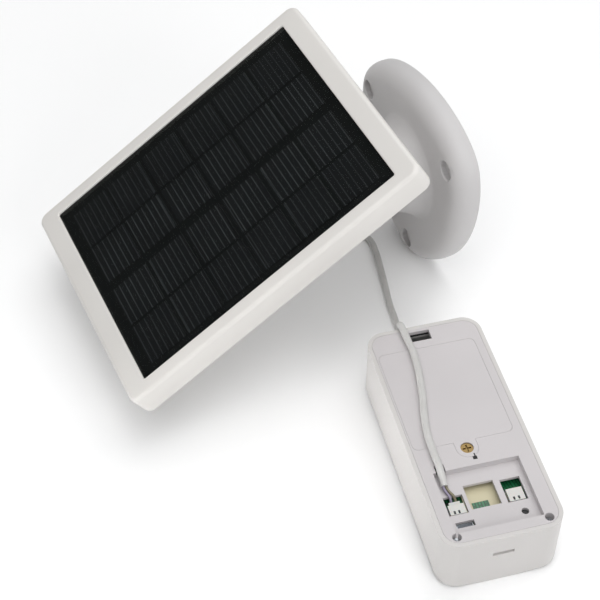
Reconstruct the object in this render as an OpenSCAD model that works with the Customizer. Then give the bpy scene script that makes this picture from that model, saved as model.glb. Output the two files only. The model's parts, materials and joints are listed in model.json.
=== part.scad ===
// Solar panel on a wall bracket, with the battery camera that it charges.
// Origin: centre of the three wall screws, on the wall plane. +Y runs into the wall, +Z is up.

/* [Panel] */
// Length of the solar panel, down the slope
panel_l = 172; // [150:1:210]
// Width of the solar panel
panel_w = 136; // [110:1:165]
// Depth of the panel's frame
panel_t = 14; // [13:0.5:20]
// Width of the frame's face along the long sides
border_side = 7.5; // [6:0.5:12]
// Width of the frame's face at the two ends
border_end = 11; // [8:0.5:16]
// Thickness of the frame's outer wall
frame_wall = 3; // [2:0.1:4]
// Thickness of the frame's face, in front of the glass
lip_t = 1.2; // [0.8:0.1:2]
// Thickness of the glass
glass_t = 1.6; // [1:0.1:2]
// Rounding of the panel's corners
panel_corner = 5; // [3:0.5:8]
// Cells along the panel
cells_long = 6; // [4:1:8]
// Slope of the panel at rest, in degrees
slope = 31.7; // [25:0.1:40]

/* [Wall bracket] */
// Circle through the three wall screws, diameter
screw_circle = 94; // [84:1:110]
// Wall screw hole, diameter
screw_hole = 5.2; // [4:0.1:6]
// Mean radius of the base plate
base_r = 54; // [51:0.5:62]
// How far the base plate bulges at its three corners
base_lobe = 4.6; // [3:0.1:5]
// Depth of the base plate
base_d = 13; // [11:0.5:18]
// Turn of the base plate on the wall, in degrees
base_turn = 7; // [0:1:30]
// Swivel spigot, diameter
spigot_d = 18; // [16:0.5:20]
// Radius of the turret
turret_r = 20.5; // [18:0.5:24]
// Thickness of the turret
turret_t = 9.5; // [8:0.5:14]
// Distance from the wall to the tilt hinge
hinge_y = 93; // [85:1:110]
// Diameter of the arm
arm_d = 19; // [16:0.5:22]
// Width of the arm's eye
eye_w = 14; // [10:0.5:18]
// Diameter of the tilt bolt
bolt_d = 6; // [5:0.5:8]
// Distance from the panel's back to the tilt hinge
stand_off = 18; // [17:0.5:24]

/* [Camera] */
// Length of the camera
cam_l = 126; // [120:1:150]
// Width of the camera
cam_w = 57; // [55:0.5:66]
// Depth of the camera
cam_d = 33; // [32:0.5:40]
// How much the camera's front is crowned
crown = 2.5; // [1:0.5:4]
// Wall of the camera's front shell
shell_wall = 2; // [1.6:0.1:2.4]
// Thickness of the camera's rear cover
cover_t = 2; // [1.6:0.1:2.4]
// Length of the battery door
door_l = 58; // [50:1:62]
// Width of the battery door
door_w = 48; // [42:1:48.5]
// Depth of the connector recess
recess_d = 3.5; // [3:0.1:4]
// Diameter of the door's lock screw
lock_d = 6; // [5:0.1:7]
// Diameter of the call button
button_d = 19; // [16:0.5:22]
// Travel of the call button
button_travel = 0.8; // [0.4:0.1:1]

/* [Lead] */
// Diameter of the lead
lead_d = 3.5; // [3:0.1:4]

/* [Hidden] */
$fn = 64;
eps = 0.01;

// Clearances: a gap between still pieces, a sliding gap, and the running fit of a shaft in its bore
gap = 0.1;
slide_gap = 0.3;
run_gap = 0.05;

// Wall bracket, measured out from the wall
cavity_d = base_d - 3;
hub_t = 14;
hub_d = cavity_d + hub_t;
turret_y = hub_d + slide_gap;
arm_y = turret_y + turret_t;
spigot_r = spigot_d / 2;
washer_t = 1.6;
wave_t = 0.25;
spigot_end = cavity_d - wave_t - gap;
pivot_r = 2.5;
pivot_head_t = 3;
pivot_end = arm_y + 14;
foot = 14;
foot_d = 6;
hinge_r = bolt_d / 2;
lug_t = 4;
washer_x = 1;
lug_x = eye_w / 2 + washer_x + gap;
clip_y = 66;
clip_w = 7;

// Panel stack, measured back from its face
pane_l = panel_l - 2 * frame_wall - 1;
pane_w = panel_w - 2 * frame_wall - 1;
glass_z = -lip_t - glass_t;
cell_t = 0.3;
cell_z = glass_z - cell_t;
ribbon_t = 0.2;
ribbon_z = cell_z - ribbon_t;
board_t = 1;
board_z = ribbon_z - board_t;
back_t = 2;
back_z = -panel_t;
inner_z = back_z + back_t;
pivot_z = -panel_t - stand_off;
pivot_s = 9.6;
face_l = panel_l - 2 * border_end;
face_w = panel_w - 2 * border_side;
gland_x = -30;
gland_s = 22;
gland_t = 9;

// Camera, measured from the middle of its back
cam_x = 142;
cam_y = -58;
cam_turn = -10.8;
floor_z = -58;
cam_corner = 9;
crown_r = (cam_w * cam_w / 4 + crown * crown) / (2 * crown);
front_t = 2.6;
cover_l = cam_l - 2 * shell_wall - 2 * gap;
cover_w = cam_w - 2 * shell_wall - 2 * gap;
seal_t = 1;
lip_w = 1.2;
door_mid = [-49 + door_l / 2, -1.5];
door_t = 1.6;
bay_d = 17;
lock_x = 13;
lock_sink = 0.6;
cam_top = cover_t + slide_gap;
cam_t = 1.5;
lock_y = -1.5;
tab_r = 5.2;
recess_x = [23, 56];
recess_y = [-21, 19.5];
floor_t = 1.5;
recess_z = -recess_d;
shelf_z = recess_z - floor_t;
left_win = [[34.5, -20.3], [10, 9.3]];
mid_win = [[30.5, -9.3], [13, 14]];
right_win = [[31.5, 7.6], [12.5, 9.4]];
sock_board_z = -9.8;
sock_top = sock_board_z + 1.2 + gap;
main_z = -21.8;
main_t = 1.4;
led_z = -cam_d + front_t + 0.9;
button_x = 38;
lens_x = -42;
barrel_l = 13.8;
window_x = -29;
window_l = 56;
window_w = 44;
window_corner = 8;
window_t = 1.6;
motion_x = -14;
usb_x = 50;
usb_y = -14.5;
reset_x = 50;
reset_y = 13.3;
screw_x = 57.7;
screw_y = 21.3;
boss_r = 2.8;
boss_end = -12;
seat_z = -cover_t - seal_t - 2 * gap;
ledge_z = -cover_t - 1;

// Route of the lead's loose stretch: from the coil, along the floor, over the camera and into its recess
lead_r = lead_d / 2;
drop_pts = [
    [-13.2, -66, -7], [-13.2, -66, -16], [-13.2, -66, -26], [-13.5, -65.7, -34.5],
    [-15.6, -63.2, -41], [-19.4, -58.7, -44.8], [-23, -54.4, -45.7]
];
run_pts = [
    [-21.8, -58, -56.2], [-21.8, -48, -56.2], [-20.6, -37, -56.2], [-16.4, -29.6, -56.2],
    [-8.9, -26.4, -56.2], [0.1, -27.6, -56.2], [9.7, -30.2, -56.2], [22.4, -34, -56.2],
    [36.2, -38.3, -56.2], [47, -40.8, -56.2], [56, -43.4, -56.2], [64, -47, -55.6],
    [70.2, -50.2, -51.6], [73.8, -52.4, -44.6], [75.2, -53.8, -36], [75.7, -54.6, -28.4],
    [77.6, -55.4, -23.1], [83.5, -56.3, -22.7], [89.1, -57, -23.1], [96, -58.1, -23.1],
    [106, -61, -23.1], [114, -64, -23.1], [122, -67.2, -23.1], [132, -71.8, -23.1],
    [141, -75.2, -23.1], [151, -77.6, -23.1], [158, -78.9, -23.2], [164, -80, -25.6], [168, -81, -26.6]
];
arm_pts = [
    [-30, -88.8, 16.7], [-30, -87.2, 14.2], [-29.9, -85.2, 11.1], [-28.2, -81.8, 8.6],
    [-24.6, -77.6, 8], [-20.2, -72.8, 8.4], [-16.2, -68.8, 8.3], [-13.8, -66.5, 6.6],
    [-13.2, -66, 3.6], [-13.2, -66, 0.6], [-13.2, -66, -3], [-13.2, -66, -7]
];
coil_at = [-50, -66];
coil_mid = 21;
coil_cols = 5;
coil_rows = 4;
coil_in = coil_mid - coil_cols * lead_d / 2;
coil_out = coil_mid + coil_cols * lead_d / 2;
coil_h = coil_rows * lead_d;

// ---- Helpers ----

// A rounded rectangle, l along X and w along Y, centred
module round_rect(l, w, r) {
    hull()
        for (x = [-1, 1], y = [-1, 1])
            translate([x * (l / 2 - r), y * (w / 2 - r)])
                circle(r, $fn = 32);
}

// The same rectangle from four arcs and two bars, so that its extrusion stays exact
module exact_rect(l, w, r) {
    square([l - 2 * r, w], center = true);
    square([l, w - 2 * r], center = true);
    for (x = [-1, 1], y = [-1, 1])
        translate([x * (l / 2 - r), y * (w / 2 - r)])
            circle(r);
}

module slab(l, w, r, z, t) {
    translate([0, 0, z])
        linear_extrude(t)
            exact_rect(l, w, r);
}

// A plain ring standing on z
module ring(outer, inner, z, t) {
    translate([0, 0, z])
        difference() {
            cylinder(h = t, r = outer);
            translate([0, 0, -eps])
                cylinder(h = t + 2 * eps, r = inner);
        }
}

module block(x, y, z) {
    translate([x[0], y[0], z[0]])
        cube([x[1] - x[0], y[1] - y[0], z[1] - z[0]]);
}

// Local frames: out of the wall, on the panel's face, and on the camera's back
module on_wall() {
    rotate([90, 0, 0])
        children();
}

module on_panel() {
    translate([0, -hinge_y, 0])
        rotate([slope, 0, 0])
            translate([0, -pivot_s, -pivot_z])
                children();
}

module on_camera() {
    translate([cam_x, cam_y, floor_z + cam_d])
        rotate([0, 0, cam_turn])
            children();
}

// Sweeps a round tube along a list of points
function unit(v) = v / norm(v);
function way(p, i) =
    unit(i == 0 ? p[1] - p[0] : i == len(p) - 1 ? p[i] - p[i - 1] : p[i + 1] - p[i - 1]);
function side(d) = unit(cross(d, abs(d[2]) > 0.9 ? [1, 0, 0] : [0, 0, 1]));
function carry(p, i) =
    i == 0 ? side(way(p, 0)) : let (s = carry(p, i - 1), d = way(p, i)) unit(s - (s * d) * d);
function tube_ring(p, i, r, n) =
    let (d = way(p, i), s = carry(p, i), u = cross(d, s))
    [for (k = [0 : n - 1]) p[i] + r * (cos(360 * k / n) * s + sin(360 * k / n) * u)];

module tube(p, r, n = 8) {
    rings = len(p);
    points = [for (i = [0 : rings - 1]) each tube_ring(p, i, r, n)];
    sides = [
        for (i = [0 : rings - 2], k = [0 : n - 1])
            [i * n + k, i * n + (k + 1) % n, (i + 1) * n + (k + 1) % n, (i + 1) * n + k]
    ];
    ends = [[for (k = [n - 1 : -1 : 0]) k], [for (k = [0 : n - 1]) (rings - 1) * n + k]];
    polyhedron(points = points, faces = concat([for (f = sides) [for (k = [3 : -1 : 0]) f[k]]],
        [for (f = ends) [for (k = [len(f) - 1 : -1 : 0]) f[k]]]), convexity = 6);
}

// A smooth curve through points: Catmull-Rom, with steps points in each stretch
function spline_at(a, b, c, d, t) =
    0.5 * (2 * b + (c - a) * t + (2 * a - 5 * b + 4 * c - d) * t * t + (3 * b - a - 3 * c + d) * t * t * t);
function smooth(p, steps) = [
    for (i = [0 : len(p) - 2], k = [0 : steps - 1])
        spline_at(p[max(i - 1, 0)], p[i], p[i + 1], p[min(i + 2, len(p) - 1)], k / steps),
    p[len(p) - 1]
];

// ---- Wall bracket ----

// Outline of the base plate: a soft triangle, set in by a distance
lobe_n = 72;
function lobe(a) = base_lobe * cos(3 * (a - 30 - base_turn));
function lobe_slope(a) = -3 * base_lobe * sin(3 * (a - 30 - base_turn));
function plate_point(a, inset) =
    let (h = base_r + lobe(a) - inset)
    [h * cos(a) - lobe_slope(a) * sin(a), h * sin(a) + lobe_slope(a) * cos(a)];
function plate_outline(inset) = [for (k = [0 : lobe_n - 1]) plate_point(360 * k / lobe_n, inset)];

// Stacks outlines, each given as [height, inset], into one solid
module plate_loft(layers) {
    n = lobe_n;
    points = [for (s = layers) for (q = plate_outline(s[1])) [q[0], q[1], s[0]]];
    walls = [
        for (i = [0 : len(layers) - 2], k = [0 : n - 1])
            [(i + 1) * n + k, (i + 1) * n + (k + 1) % n, i * n + (k + 1) % n, i * n + k]
    ];
    bottom = [for (k = [0 : n - 1]) k];
    top = [for (k = [n - 1 : -1 : 0]) (len(layers) - 1) * n + k];
    polyhedron(points = points, faces = concat(walls, [bottom], [top]), convexity = 4);
}

soft_edge = 9;
edge_from = 4;
plate_layers = [
    [0, 0.8], [1.2, 0.1], [edge_from, 0],
    for (a = [18 : 18 : 90]) [edge_from + (base_d - edge_from) * sin(a), soft_edge * (1 - cos(a))]
];
cavity_layers = [[-eps, 3.2], [edge_from, 3.2], [cavity_d - 2, 6.5], [cavity_d, 12.5]];

module at_wall_screws() {
    for (a = [30, 150, 270])
        rotate([0, 0, a + base_turn])
            translate([screw_circle / 2, 0, 0])
                children();
}

module wall_base() {
    color("gainsboro")
        on_wall()
            difference() {
                union() {
                    difference() {
                        plate_loft(plate_layers);
                        plate_loft(cavity_layers);
                    }
                    at_wall_screws()
                        cylinder(h = base_d - 1, r = 7);
                    translate([0, 0, cavity_d])
                        cylinder(h = hub_t, r1 = turret_r + 4, r2 = turret_r);
                    ring(turret_r, spigot_r + 6, cavity_d - 4, 4 + eps);
                }
                at_wall_screws() {
                    translate([0, 0, -1])
                        cylinder(h = base_d + 2, d = screw_hole);
                    translate([0, 0, base_d - 3.5])
                        cylinder(h = 5, r = screw_hole / 2 + 2.4);
                }
                translate([0, 0, -1])
                    cylinder(h = hub_d + 2, r = spigot_r + run_gap);
            }
}

module wall_gasket() {
    color("dimgray")
        on_wall()
            difference() {
                linear_extrude(1.6)
                    difference() {
                        polygon(plate_outline(3.7));
                        polygon(plate_outline(9));
                    }
                at_wall_screws()
                    translate([0, 0, -1])
                        cylinder(h = 4, r = 7.3);
            }
}

module turret() {
    color("whitesmoke")
        on_wall()
            difference() {
                union() {
                    translate([0, 0, spigot_end])
                        cylinder(h = turret_y - spigot_end + 1, r = spigot_r);
                    translate([0, 0, turret_y])
                        cylinder(h = turret_t - 2, r = turret_r);
                    translate([0, 0, turret_y + turret_t - 2])
                        cylinder(h = 2, r1 = turret_r, r2 = turret_r - 2);
                }
                translate([0, 0, spigot_end - 1])
                    cylinder(h = hub_d + turret_t, r = pivot_r + 0.2);
                translate([-foot / 2 - gap, -foot / 2 - gap, arm_y - foot_d])
                    cube([foot + 2 * gap, foot + 2 * gap, foot_d + 1]);
            }
}

module arm() {
    color("whitesmoke")
        on_wall()
            difference() {
                union() {
                    translate([-foot / 2, -foot / 2, arm_y - foot_d + gap])
                        cube([foot, foot, foot_d]);
                    translate([0, 0, arm_y + gap])
                        cylinder(h = hinge_y - arm_y - gap, d = arm_d);
                    translate([-eye_w / 2, 0, hinge_y])
                        rotate([0, 90, 0])
                            cylinder(h = eye_w, d = arm_d);
                }
                for (x = [-1, 1])
                    translate([x * (eye_w / 2 + arm_d / 2), 0, hinge_y])
                        cube([arm_d, 2 * arm_d, 2 * (arm_d / 2 + 2.5)], center = true);
                translate([0, 0, arm_y - foot_d - 1])
                    cylinder(h = pivot_end - arm_y + foot_d + 2, r = pivot_r + run_gap);
                translate([-eye_w, 0, hinge_y])
                    rotate([0, 90, 0])
                        cylinder(h = 2 * eye_w, r = hinge_r + run_gap);
            }
}

module pivot_screw() {
    color("silver")
        on_wall()
            difference() {
                union() {
                    translate([0, 0, spigot_end - washer_t - gap])
                        cylinder(h = pivot_end - spigot_end + washer_t + gap, r = pivot_r);
                    translate([0, 0, spigot_end - washer_t - gap - pivot_head_t])
                        cylinder(h = pivot_head_t, r = 4.5);
                }
                translate([0, 0, spigot_end - washer_t - gap - pivot_head_t - 1])
                    cylinder(h = 3, r = 2.3, $fn = 6);
            }
}

module pivot_washer() {
    color("silver")
        on_wall()
            ring(13, pivot_r + 0.2, spigot_end - washer_t - gap / 2, washer_t);
}

module wave_washer() {
    color("darkgray")
        on_wall()
            ring(12.5, spigot_r + 0.6, spigot_end, wave_t);
}

module cable_clip() {
    clip_x = -13.2;
    color("white")
        translate([0, -clip_y, 0])
            difference() {
                union() {
                    rotate([90, 0, 0])
                        ring(arm_d / 2 + 1.6, arm_d / 2 + gap / 2, -clip_w / 2, clip_w);
                    difference() {
                        translate([clip_x, 0, -5])
                            cylinder(h = 8, r = clip_w / 2);
                        rotate([90, 0, 0])
                            cylinder(h = 2 * clip_w, r = arm_d / 2 + 1, center = true);
                    }
                }
                translate([clip_x, 0, -10])
                    cylinder(h = 20, r = lead_r + gap);
            }
}

// ---- Solar panel ----

module panel_frame() {
    color("linen")
        on_panel()
            difference() {
                slab(panel_w, panel_l, panel_corner, back_z, panel_t);
                slab(face_w, face_l, 1, -lip_t - 1, lip_t + 2);
                slab(pane_w + 2 * gap, pane_l + 2 * gap, 3, back_z - 1, panel_t + 1 - lip_t);
            }
}

module panel_glass() {
    color("black", 0.6)
        on_panel()
            slab(pane_w, pane_l, 3, glass_z, glass_t - gap);
}

// The cells lie in pairs of rows either side of a wider middle gap
cell_gap = 2;
mid_gap = 6;
cell_margin = 6;
cell_s = (face_l - 2 * cell_margin - (cells_long - 1) * cell_gap) / cells_long;
cell_w = (face_w - 2 * cell_margin - 2 * cell_gap - mid_gap) / 4;

module at_cells() {
    for (i = [0 : cells_long - 1], k = [0 : 3])
        translate([
            -face_w / 2 + cell_margin + k * (cell_w + cell_gap) + (k > 1 ? mid_gap - cell_gap : 0),
            -face_l / 2 + cell_margin + i * (cell_s + cell_gap), 0
        ])
            children();
}

module solar_cells() {
    color("midnightblue")
        on_panel()
            at_cells()
                translate([0, 0, cell_z])
                    cube([cell_w, cell_s, cell_t - gap]);
}

module cell_ribbons() {
    color("silver")
        on_panel()
            for (k = [0 : 3])
                translate([
                    -face_w / 2 + cell_margin + (k + 0.5) * cell_w + k * cell_gap + (k > 1 ? mid_gap - cell_gap : 0) - 1,
                    -face_l / 2 + cell_margin, ribbon_z
                ])
                    cube([2, face_l - 2 * cell_margin, ribbon_t - gap / 2]);
}

module backing_board() {
    color("darkslategray")
        on_panel()
            slab(pane_w, pane_l, 3, board_z, board_t - gap / 2);
}

module junction_box() {
    color("dimgray")
        on_panel()
            translate([gland_x, gland_s, 0])
                slab(14, 22, 2, board_z - gap - 4, 4);
}

module panel_gasket() {
    color("dimgray")
        on_panel()
            difference() {
                slab(pane_w - 1, pane_l - 1, 3, inner_z + gap, board_z - inner_z - 2 * gap);
                slab(pane_w - 6, pane_l - 6, 2, inner_z - 1, panel_t);
            }
}

module at_panel_screws() {
    for (x = [-1, 1], y = [-1, 0, 1])
        translate([x * (pane_w / 2 - 8), y * (pane_l / 2 - 8), 0])
            children();
}

bracket_l = 46;
module at_bracket_screws() {
    for (x = [-1, 1], y = [-1, 1])
        translate([x * (bracket_l / 2 - 6), pivot_s + y * (bracket_l / 2 - 6), 0])
            children();
}

module panel_back() {
    post_h = board_z - gap - inner_z;
    color("linen")
        on_panel()
            difference() {
                union() {
                    slab(pane_w, pane_l, 3, back_z, back_t);
                    at_panel_screws()
                        translate([0, 0, inner_z - eps])
                            cylinder(h = post_h, r = 3.5);
                    at_bracket_screws()
                        translate([0, 0, inner_z - eps])
                            cylinder(h = post_h, r = 4);
                }
                at_panel_screws() {
                    translate([0, 0, back_z - 1])
                        cylinder(h = 6, r = 1.6);
                    translate([0, 0, back_z - 1])
                        cylinder(h = 2, r = 3);
                }
                at_bracket_screws()
                    translate([0, 0, back_z - 1])
                        cylinder(h = 7, r = 1.6);
                translate([gland_x, gland_s, back_z - 1])
                    cylinder(h = 4, r = 4 + gap);
            }
}

// A pan-head screw that points up, its head's seat at the origin
module small_screw(r, length, head_r, head_t) {
    difference() {
        union() {
            cylinder(h = length, r = r);
            translate([0, 0, -head_t])
                cylinder(h = head_t, r = head_r);
        }
        for (a = [0, 90])
            rotate([0, 0, a])
                translate([-head_r * 0.6, -0.3, -head_t - eps])
                    cube([head_r * 1.2, 0.6, head_t * 0.6]);
    }
}

module panel_screws() {
    color("gray")
        on_panel()
            at_panel_screws()
                translate([0, 0, back_z + 1 - gap / 2])
                    small_screw(1.5, 3.5, 2.7, 0.9);
}

module tilt_bracket() {
    color("whitesmoke")
        on_panel()
            difference() {
                union() {
                    translate([0, pivot_s, 0])
                        slab(bracket_l, bracket_l, 6, back_z - 3 - gap, 3);
                    for (x = [-lug_x - lug_t, lug_x])
                        translate([x, pivot_s, pivot_z]) {
                            translate([0, -arm_d / 2, 0])
                                cube([lug_t, arm_d, stand_off - 3]);
                            rotate([0, 90, 0])
                                cylinder(h = lug_t, d = arm_d);
                        }
                }
                at_bracket_screws()
                    translate([0, 0, back_z - 5])
                        cylinder(h = 6, r = 1.7);
                translate([-30, pivot_s, pivot_z])
                    rotate([0, 90, 0])
                        cylinder(h = 60, r = hinge_r + run_gap);
            }
}

module bracket_screws() {
    color("gray")
        on_panel()
            at_bracket_screws()
                translate([0, 0, back_z - 3 - 1.5 * gap])
                    small_screw(1.5, 7, 2.9, 1.8);
}

module tilt_bolt() {
    color("silver")
        translate([0, -hinge_y, 0])
            rotate([0, 90, 0])
                difference() {
                    union() {
                        translate([0, 0, -lug_x - lug_t - gap])
                            cylinder(h = 2 * (lug_x + lug_t) + 7, r = hinge_r);
                        translate([0, 0, -lug_x - lug_t - 4 - gap])
                            cylinder(h = 4, r = 5.2);
                    }
                    translate([0, 0, -lug_x - lug_t - 5])
                        cylinder(h = 3.2, r = 2.9, $fn = 6);
                }
}

module tilt_nut() {
    color("silver")
        translate([lug_x + lug_t + gap, -hinge_y, 0])
            rotate([0, 90, 0])
                difference() {
                    cylinder(h = 5, r = 5.8, $fn = 6);
                    translate([0, 0, -1])
                        cylinder(h = 7, r = hinge_r + run_gap);
                }
}

module friction_washers() {
    color("dimgray")
        for (x = [-1, 1])
            translate([x * (eye_w / 2 + (washer_x + gap) / 2) - washer_x / 2, -hinge_y, 0])
                rotate([0, 90, 0])
                    ring(8.5, hinge_r + run_gap, gap / 4, washer_x - gap / 2);
}

module cable_gland() {
    color("dimgray")
        on_panel()
            translate([gland_x, gland_s, 0])
                difference() {
                    union() {
                        translate([0, 0, back_z - 3])
                            cylinder(h = 5, r = 4);
                        translate([0, 0, back_z - 3])
                            cylinder(h = 3 - gap, r = 5.5);
                        translate([0, 0, back_z - gland_t])
                            cylinder(h = gland_t - 3, r1 = lead_r + 0.8, r2 = 4);
                    }
                    translate([0, 0, back_z - gland_t - 1])
                        cylinder(h = gland_t + 4, r = lead_r + gap);
                }
}

module arm_lead() {
    color("lightgray")
        tube(smooth(arm_pts, 3), lead_r);
}

// ---- Camera ----

// The space inside the crowned front, which cuts every piece that ends there
module crowned(inset = 0) {
    translate([0, 0, -cam_d + inset + crown_r - inset])
        rotate([0, 90, 0])
            cylinder(h = 2 * cam_l, r = crown_r - inset, center = true, $fn = 720);
}

module at_cover_screws() {
    for (y = [-1, 1])
        translate([screw_x, y * screw_y, 0])
            children();
}

module at_leds() {
    for (y = [-14, 14], x = [-7, 7])
        translate([lens_x + x, y, 0])
            children();
}

// The space inside the shell, less the ledge under the rear cover's seal and the two screw posts
module shell_space() {
    difference() {
        intersection() {
            slab(cam_l - 2 * shell_wall, cam_w - 2 * shell_wall, cam_corner - shell_wall,
                -cam_d + front_t, cam_d);
            crowned(front_t);
        }
        difference() {
            slab(cam_l, cam_w, cam_corner, seat_z - 1.4, 1.4);
            slab(cam_l - 2 * shell_wall - 3.4, cam_w - 2 * shell_wall - 3.4, 5, seat_z - 3, 5);
            at_cover_screws()
                translate([0, 0, seat_z - 3])
                    cylinder(h = 5, r = boss_r + gap);
        }
        at_cover_screws()
            translate([0, 0, -cam_d])
                cylinder(h = cam_d + boss_end - gap, r = boss_r);
    }
}

module front_shell() {
    color("gainsboro")
        on_camera()
            difference() {
                intersection() {
                    slab(cam_l, cam_w, cam_corner, -cam_d, cam_d);
                    crowned();
                }
                shell_space();
                at_cover_screws()
                    translate([0, 0, boss_end - 3.5])
                        cylinder(h = 4, r = 1.25);
                at_leds()
                    translate([0, 0, -cam_d - 1])
                        cylinder(h = front_t + 3, r = 2.6);
                difference() {
                    translate([window_x, 0, 0])
                        slab(window_l, window_w, window_corner, -cam_d - 1, 6);
                    crowned(window_t);
                }
                translate([lens_x, 0, -cam_d - 1])
                    cylinder(h = front_t + 3, r = 9);
                translate([motion_x, 0, -cam_d - 1])
                    cylinder(h = front_t + 3, r = 7);
                translate([button_x, 0, -cam_d - 1]) {
                    cylinder(h = front_t + 3, r = button_d / 2 + 0.6);
                    cylinder(h = 2.6, r = button_d / 2 + 2.6);
                }
                translate([14, 0, -cam_d - 1])
                    cylinder(h = front_t + 3, r = 0.8);
                for (x = [54 : 2 : 58], y = [-6 : 3 : 6])
                    translate([x, y, -cam_d - 1])
                        cylinder(h = front_t + 3, r = 0.7, $fn = 16);
                translate([cam_l / 2 - 1.2, -5.5, -13])
                    cube([3, 10, 2]);
            }
}

module housing_seal() {
    color("dimgray")
        on_camera()
            difference() {
                slab(cover_l - 1, cover_w - 1, 6, -cover_t - seal_t - gap, seal_t);
                slab(cover_l - 1 - 2 * lip_w, cover_w - 1 - 2 * lip_w, 5, -cover_t - seal_t - 1, seal_t + 2);
                at_cover_screws()
                    translate([0, 0, -cover_t - seal_t - 1])
                        cylinder(h = seal_t + 2, r = boss_r + gap);
            }
}

module window_cut(w) {
    block([w[0][0], w[0][0] + w[1][0]], [w[0][1], w[0][1] + w[1][1]], [shelf_z - 1, recess_z + 1]);
}

// A ledge at one end of the door's opening, which the door's seal lies on
module door_ledge(end, y) {
    edge = door_mid[0] + end * door_l / 2;
    block([min(edge - end * 2.4, edge + end * 1.4), max(edge - end * 2.4, edge + end * 1.4)],
        y, [ledge_z - 1.2, -cover_t + eps]);
}

module rear_cover() {
    color("lightgray")
        on_camera()
            difference() {
                union() {
                    slab(cover_l, cover_w, cam_corner - shell_wall - gap, -cover_t, cover_t);
                    block(recess_x + [-1.5, 1.5], recess_y + [-1.5, 1.5], [shelf_z, -cover_t + eps]);
                    at_cover_screws()
                        translate([0, 0, boss_end])
                            cylinder(h = -boss_end - 1, r = boss_r);
                    for (y = [[-21, -8], [5, 18]], x = [-1, 1])
                        door_ledge(x, y);
                }
                translate(door_mid)
                    slab(door_l + 2 * gap, door_w + 2 * gap, 3, ledge_z, -ledge_z + 1);
                translate([lock_x, lock_y, -cover_t - 1])
                    cylinder(h = cover_t + 2, r = tab_r + gap);
                block([door_mid[0], lock_x], [lock_y - tab_r - gap, lock_y + tab_r + gap], [-cover_t - 1, 1]);
                block(recess_x, recess_y, [recess_z, 1]);
                block([recess_x[0] - 4, recess_x[0] + 1], [recess_y[0] + 1.5, recess_y[0] + 6], [recess_z, 1]);
                for (w = [left_win, mid_win, right_win])
                    window_cut(w);
                block([usb_x - 1.5, usb_x + 1.5], [usb_y - 4.3, usb_y + 4.3], [shelf_z - 1, 0]);
                translate([reset_x, reset_y, shelf_z - 1])
                    cylinder(h = 4, r = 1.7);
                block([-59.5, -53.5], [-6.7, 3.3], [-cover_t - 1, 1]);
                at_cover_screws() {
                    translate([0, 0, boss_end - 1])
                        cylinder(h = 20, r = 1.3);
                    translate([0, 0, -5])
                        cylinder(h = 20, r = 2.1);
                }
            }
}

module housing_screws() {
    color("gray")
        on_camera()
            at_cover_screws()
                translate([0, 0, -5 + gap / 2])
                    rotate([180, 0, 0])
                        small_screw(1.2, 9, 1.9, 1.4);
}

module battery_door() {
    color("lightgray")
        on_camera()
            difference() {
                union() {
                    translate(door_mid)
                        slab(door_l, door_w, 3, -door_t, door_t);
                    translate([lock_x, lock_y, -door_t])
                        cylinder(h = door_t, r = tab_r);
                    block([door_mid[0], lock_x], [lock_y - tab_r, lock_y + tab_r], [-door_t, 0]);
                }
                translate([lock_x, lock_y, -door_t - 1])
                    cylinder(h = door_t + 2, r = lock_d / 2 + run_gap);
            }
}

module door_seal() {
    color("dimgray")
        on_camera()
            translate([door_mid[0], door_mid[1], 0])
                difference() {
                    slab(door_l - 2, door_w - 2, 3, ledge_z + gap, -ledge_z - door_t - 2 * gap);
                    slab(door_l - 5, door_w - 5, 2, -door_t - 3, 4);
                }
}

module battery_pack() {
    color("steelblue")
        on_camera()
            translate([door_mid[0], door_mid[1], 0])
                slab(door_l - 7, door_w - 6, 3, -bay_d, bay_d - door_t - 0.6);
}

module battery_contacts() {
    color("gold")
        on_camera()
            for (y = [-6, 0, 6])
                block([door_mid[0] + door_l / 2 - 3, door_mid[0] + door_l / 2 - 2.4],
                    [door_mid[1] + y - 1.5, door_mid[1] + y + 1.5], [main_z + main_t + gap, -6]);
}

module lock_screw() {
    color("darkgoldenrod")
        on_camera()
            translate([lock_x, lock_y, 0])
                difference() {
                    translate([0, 0, -cam_top])
                        cylinder(h = cam_top - lock_sink, r = lock_d / 2);
                    for (a = [0, 90])
                        rotate([0, 0, a])
                            translate([-2, -0.4, -lock_sink - 0.8])
                                cube([4, 0.8, 2]);
                }
}

module lock_cam() {
    color("darkgoldenrod")
        on_camera()
            translate([lock_x, lock_y, -cam_top - cam_t])
                difference() {
                    union() {
                        cylinder(h = cam_t, r = 4);
                        translate([0, -2.5, 0])
                            cube([7.4, 5, cam_t]);
                    }
                    translate([0, 0, -1])
                        cylinder(h = 4, r = 0.8);
                }
}

module main_board() {
    color("darkgreen")
        on_camera()
            difference() {
                slab(cam_l - 2 * shell_wall - 4, cam_w - 2 * shell_wall - 4, 5, main_z, main_t);
                translate([lens_x, 0, main_z - 1])
                    cylinder(h = 4, r = 8.3);
                at_cover_screws()
                    translate([0, 0, main_z - 1])
                        cylinder(h = 4, r = boss_r + slide_gap);
            }
}

module board_chips() {
    color("dimgray")
        on_camera()
            for (p = [[-16, -15, 10], [0, 10, 8], [12, -12, 6], [22, 8, 9]])
                translate([p[0], p[1], main_z - 1.2 - gap])
                    cube([p[2], p[2], 1.2]);
}

module call_switch() {
    color("dimgray")
        on_camera()
            translate([button_x, 0, 0]) {
                translate([-3, -3, main_z - 2 - gap])
                    cube([6, 6, 2]);
                translate([0, 0, main_z - 2.6 - gap])
                    cylinder(h = 0.8, r = 1.7);
            }
}

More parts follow.
